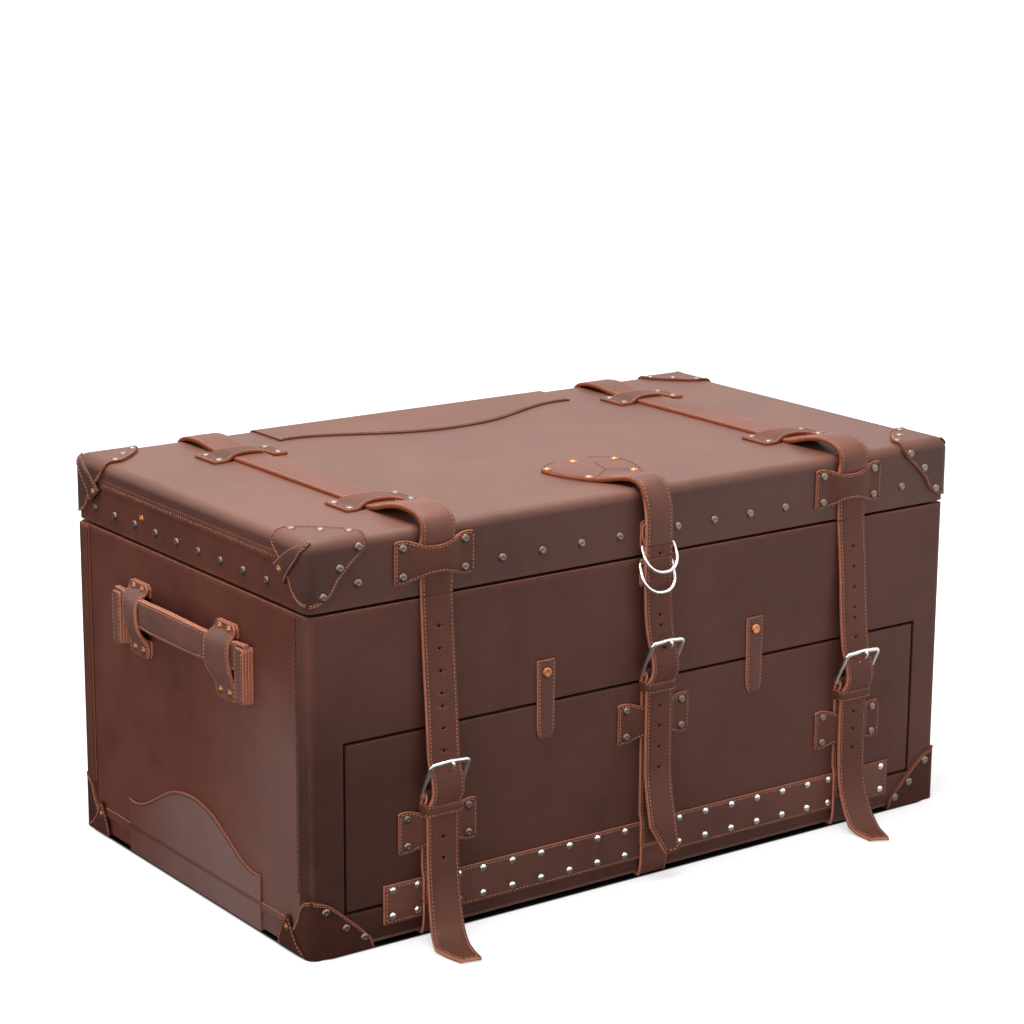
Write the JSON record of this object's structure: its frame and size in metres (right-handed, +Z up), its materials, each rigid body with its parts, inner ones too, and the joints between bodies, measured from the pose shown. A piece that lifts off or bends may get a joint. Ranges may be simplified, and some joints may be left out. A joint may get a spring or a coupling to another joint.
{
  "type": "travel trunk",
  "caption": "Low leather-clad travel trunk with a hinged lid, a drop front on a studded leather hinge, buckled straps through D-rings and slip handles on the ends.",
  "frame": {"origin": "On the floor under the middle of the case, where the centre strap under the bottom rests.", "axes": "+X along the long front towards the right end as seen from the front, +Y from the front to the back, +Z up. The drop front faces -Y."},
  "size_m": [0.9738, 0.621, 0.4832],
  "materials": {
    "carcass_plywood": "sanded birch plywood",
    "end_leather": "waxed reddish brown bridle leather",
    "hide_leather": "waxed dark brown bridle leather",
    "overlay_leather": "waxed brown bridle leather, stitched edge",
    "cap_leather": "moulded brown leather, stitched edge",
    "strap_leather": "brown bridle leather, raw tan edges",
    "loop_leather": "brown bridle leather, raw tan edges",
    "handle_leather": "laminated brown bridle leather, stitched",
    "bright_nickel": "polished nickel plate",
    "antique_rivet": "antique gunmetal",
    "copper": "bright copper",
    "hinge_steel": "antique plated steel"
  },
  "bodies": {
    "trunk_case": {"base_board": "carcass_plywood", "back_board": "carcass_plywood", "left_end_board": "carcass_plywood", "right_end_board": "carcass_plywood", "front_frame": "carcass_plywood", "divider_shelf": "carcass_plywood", "rim_lip": "carcass_plywood", "front_leather": "hide_leather", "end_leathers": "end_leather", "back_leather": "hide_leather", "bottom_leather": "hide_leather", "end_wave_overlays": "overlay_leather", "base_corner_caps": "cap_leather", "base_straps": "strap_leather", "back_straps": "strap_leather", "ring_chape_lower": "strap_leather", "hinge_case_leaves": "hinge_steel", "hinge_pins": "hinge_steel", "base_rivets": "antique_rivet", "base_copper_rivets": "copper", "hinge_band_lower": "strap_leather", "studs_lower": "bright_nickel", "handle_loops": "loop_leather"},
    "lid": {"lid_top_board": "carcass_plywood", "lid_frame": "carcass_plywood", "lid_leather": "hide_leather", "lid_end_leathers": "end_leather", "lid_corner_caps": "cap_leather", "lid_back_overlay": "overlay_leather", "lid_straps": "strap_leather", "centre_strap_end": "strap_leather", "lid_loops": "loop_leather", "ring_chape_upper": "strap_leather", "lid_rivets": "antique_rivet", "lid_copper_rivets": "copper", "hinge_lid_leaves": "hinge_steel"},
    "drop_front": {"door_board": "carcass_plywood", "door_leather": "hide_leather", "hinge_band_upper": "strap_leather", "studs_upper": "bright_nickel", "door_loops": "loop_leather", "lower_straps": "strap_leather", "strap_keepers": "strap_leather", "door_tabs": "strap_leather", "press_stud_caps": "copper", "door_rivets": "antique_rivet"},
    "front_strap_left": {"front_strap_left": "strap_leather"},
    "front_strap_centre": {"front_strap_centre": "strap_leather"},
    "front_strap_right": {"front_strap_right": "strap_leather"},
    "buckle_frame_left": {"buckle_frame_left": "bright_nickel"},
    "buckle_frame_centre": {"buckle_frame_centre": "bright_nickel"},
    "buckle_frame_right": {"buckle_frame_right": "bright_nickel"},
    "buckle_prong_left": {"buckle_prong_left": "bright_nickel"},
    "buckle_prong_centre": {"buckle_prong_centre": "bright_nickel"},
    "buckle_prong_right": {"buckle_prong_right": "bright_nickel"},
    "d_ring_upper": {"d_ring_upper": "bright_nickel"},
    "d_ring_lower": {"d_ring_lower": "bright_nickel"},
    "handle_left": {"handle_left": "handle_leather"},
    "handle_right": {"handle_right": "handle_leather"}
  },
  "joints": [
    {"name": "lid_hinge", "type": "hinge", "parent": "trunk_case", "child": "lid", "pos_m": [0, 0.2685, 0.391], "axis": [-1, 0, 0], "range_deg": [0, 95]},
    {"name": "drop_front_hinge", "type": "hinge", "parent": "trunk_case", "child": "drop_front", "pos_m": [0, -0.2712, 0.0445], "axis": [1, 0, 0], "range_deg": [0, 90]},
    {"name": "strap_left_hang", "type": "hinge", "parent": "lid", "child": "front_strap_left", "pos_m": [0, -0.2662, 0.391], "axis": [-1, 0, 0], "range_deg": [-95, 0], "deforming": ["front_strap_left"]},
    {"name": "strap_centre_hang", "type": "hinge", "parent": "lid", "child": "front_strap_centre", "pos_m": [0, -0.2763, 0.391], "axis": [-1, 0, 0], "range_deg": [-95, 0], "deforming": ["front_strap_centre"]},
    {"name": "strap_right_hang", "type": "hinge", "parent": "lid", "child": "front_strap_right", "pos_m": [0, -0.2662, 0.391], "axis": [-1, 0, 0], "range_deg": [-95, 0], "deforming": ["front_strap_right"]},
    {"name": "buckle_left_tilt", "type": "hinge", "parent": "drop_front", "child": "buckle_frame_left", "pos_m": [0, -0.2708, 0.163], "axis": [1, 0, 0], "range_deg": [-18, 50]},
    {"name": "prong_left_tilt", "type": "hinge", "parent": "buckle_frame_left", "child": "buckle_prong_left", "pos_m": [0, -0.2708, 0.163], "axis": [1, 0, 0], "range_deg": [0, 25]},
    {"name": "buckle_centre_tilt", "type": "hinge", "parent": "drop_front", "child": "buckle_frame_centre", "pos_m": [0, -0.2708, 0.25], "axis": [1, 0, 0], "range_deg": [-18, 50]},
    {"name": "prong_centre_tilt", "type": "hinge", "parent": "buckle_frame_centre", "child": "buckle_prong_centre", "pos_m": [0, -0.2708, 0.25], "axis": [1, 0, 0], "range_deg": [0, 25]},
    {"name": "buckle_right_tilt", "type": "hinge", "parent": "drop_front", "child": "buckle_frame_right", "pos_m": [0, -0.2708, 0.185], "axis": [1, 0, 0], "range_deg": [-18, 50]},
    {"name": "prong_right_tilt", "type": "hinge", "parent": "buckle_frame_right", "child": "buckle_prong_right", "pos_m": [0, -0.2708, 0.185], "axis": [1, 0, 0], "range_deg": [0, 25]},
    {"name": "ring_upper_swing", "type": "hinge", "parent": "lid", "child": "d_ring_upper", "pos_m": [0, -0.269, 0.404], "axis": [-1, 0, 0], "range_deg": [0, 75]},
    {"name": "ring_lower_swing", "type": "hinge", "parent": "trunk_case", "child": "d_ring_lower", "pos_m": [0, -0.269, 0.384], "axis": [-1, 0, 0], "range_deg": [0, 75]},
    {"name": "handle_left_slip", "type": "slide", "parent": "trunk_case", "child": "handle_left", "axis": [0, 1, 0], "range_m": [-0.0025, 0.0025]},
    {"name": "handle_right_slip", "type": "slide", "parent": "trunk_case", "child": "handle_right", "axis": [0, 1, 0], "range_m": [-0.0025, 0.0025]}
  ],
  "couplings": [
    {"joint": "strap_left_hang", "follows": "lid_hinge", "ratio": -1},
    {"joint": "strap_centre_hang", "follows": "lid_hinge", "ratio": -1},
    {"joint": "strap_right_hang", "follows": "lid_hinge", "ratio": -1},
    {"joint": "ring_lower_swing", "follows": "ring_upper_swing", "ratio": 1}
  ]
}
